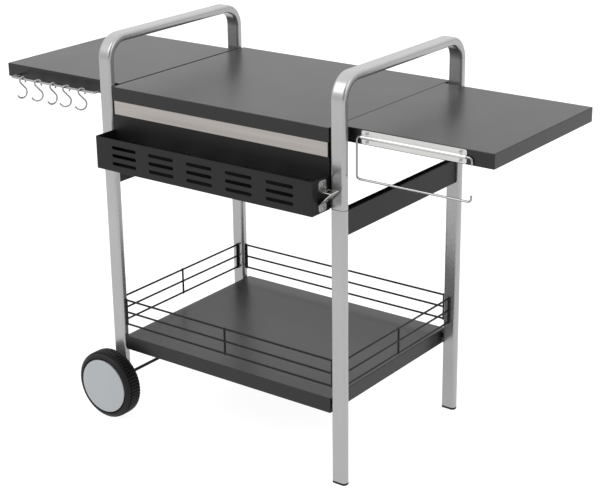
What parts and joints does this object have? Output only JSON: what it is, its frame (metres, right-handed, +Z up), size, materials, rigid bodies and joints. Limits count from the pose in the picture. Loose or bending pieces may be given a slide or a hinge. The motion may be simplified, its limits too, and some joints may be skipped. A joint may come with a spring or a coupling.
{
  "type": "barbecue table",
  "caption": "Wheeled barbecue table: steel top with side wings on two hoop frames, slotted spice rack, hook rail, paper roll holder and railed lower shelf.",
  "frame": {"origin": "on the floor below the middle of the table", "axes": "+X along the table towards the feet, -Y towards the spice rack, +Z up"},
  "size_m": [1.4, 0.624, 0.968],
  "materials": {
    "silver_tube": "silver metallic paint on steel tube",
    "dark_sheet": "anthracite powder coat on steel sheet, satin",
    "black_steel": "matt black powder coat on steel",
    "black_wire": "black powder coat on steel wire and rod",
    "stainless": "brushed stainless sheet",
    "chrome_wire": "bright plated wire",
    "zinc": "zinc plated steel",
    "black_plastic": "moulded black polypropylene",
    "tyre_rubber": "black rubber",
    "cap_plastic": "satin grey moulded cap"
  },
  "bodies": {
    "frame": {"left_hoop": "silver_tube", "right_hoop": "silver_tube", "front_left_leg": "silver_tube", "back_left_leg": "silver_tube", "front_right_leg": "silver_tube", "back_right_leg": "silver_tube", "main_top": "dark_sheet", "left_wing": "dark_sheet", "right_wing": "dark_sheet", "bottom_shelf": "dark_sheet", "main_top_stiffeners": "dark_sheet", "wing_stiffeners": "dark_sheet", "shelf_stiffeners": "dark_sheet", "left_side_rail": "black_steel", "right_side_rail": "black_steel", "front_apron": "black_steel", "back_apron": "black_steel", "spice_rack": "black_steel", "rack_end_plates": "black_steel", "rack_screws": "black_steel", "front_railing": "black_wire", "back_railing": "black_wire", "left_railing": "black_wire", "right_railing": "black_wire", "axle": "black_wire", "front_fascia": "stainless", "roll_holder_plate": "stainless", "bottle_opener": "stainless", "hook_rail": "chrome_wire", "leg_spigots": "zinc", "rail_plugs": "zinc", "frame_screws": "zinc", "main_top_nuts": "zinc", "wing_bolts": "zinc", "apron_bolts": "zinc", "shelf_bolts": "zinc", "rivet_nuts": "zinc", "opener_screws": "zinc", "plate_screws": "zinc", "hook_rail_nuts": "zinc", "axle_washers": "zinc", "push_nuts": "zinc", "front_foot_cap": "black_plastic", "back_foot_cap": "black_plastic", "leg_plugs": "black_plastic", "axle_bushes": "black_plastic", "wing_spacers": "black_plastic", "shelf_washers": "black_plastic"},
    "front_wheel": {"front_tyre": "tyre_rubber", "front_hub": "black_plastic", "front_hub_cap": "cap_plastic"},
    "back_wheel": {"back_tyre": "tyre_rubber", "back_hub": "black_plastic", "back_hub_cap": "cap_plastic"},
    "roll_holder": {"roll_holder_rod": "chrome_wire"},
    "hook_1": {"s_hook_1": "chrome_wire"},
    "hook_2": {"s_hook_2": "chrome_wire"},
    "hook_3": {"s_hook_3": "chrome_wire"},
    "hook_4": {"s_hook_4": "chrome_wire"},
    "hook_5": {"s_hook_5": "chrome_wire"}
  },
  "joints": [
    {"name": "front_wheel_spin", "type": "hinge", "parent": "frame", "child": "front_wheel", "pos_m": [-0.343, 0, 0.087], "axis": [0, 1, 0], "continuous": true},
    {"name": "back_wheel_spin", "type": "hinge", "parent": "frame", "child": "back_wheel", "pos_m": [-0.343, 0, 0.087], "axis": [0, 1, 0], "continuous": true},
    {"name": "roll_holder_swing", "type": "hinge", "parent": "frame", "child": "roll_holder", "pos_m": [0.5, -0.2198, 0.8335], "axis": [-1, 0, 0], "range_deg": [0, 110]},
    {"name": "hook_1_swing", "type": "hinge", "parent": "frame", "child": "hook_1", "pos_m": [-0.61182, -0.253, 0.8275], "axis": [1, 0, 0], "range_deg": [-60, 40]},
    {"name": "hook_2_swing", "type": "hinge", "parent": "frame", "child": "hook_2", "pos_m": [-0.55814, -0.253, 0.8275], "axis": [1, 0, 0], "range_deg": [-60, 40]},
    {"name": "hook_3_swing", "type": "hinge", "parent": "frame", "child": "hook_3", "pos_m": [-0.50731, -0.253, 0.8275], "axis": [1, 0, 0], "range_deg": [-60, 40]},
    {"name": "hook_4_swing", "type": "hinge", "parent": "frame", "child": "hook_4", "pos_m": [-0.46187, -0.253, 0.8275], "axis": [1, 0, 0], "range_deg": [-60, 40]},
    {"name": "hook_5_swing", "type": "hinge", "parent": "frame", "child": "hook_5", "pos_m": [-0.41018, -0.253, 0.8275], "axis": [1, 0, 0], "range_deg": [-60, 40]}
  ]
}
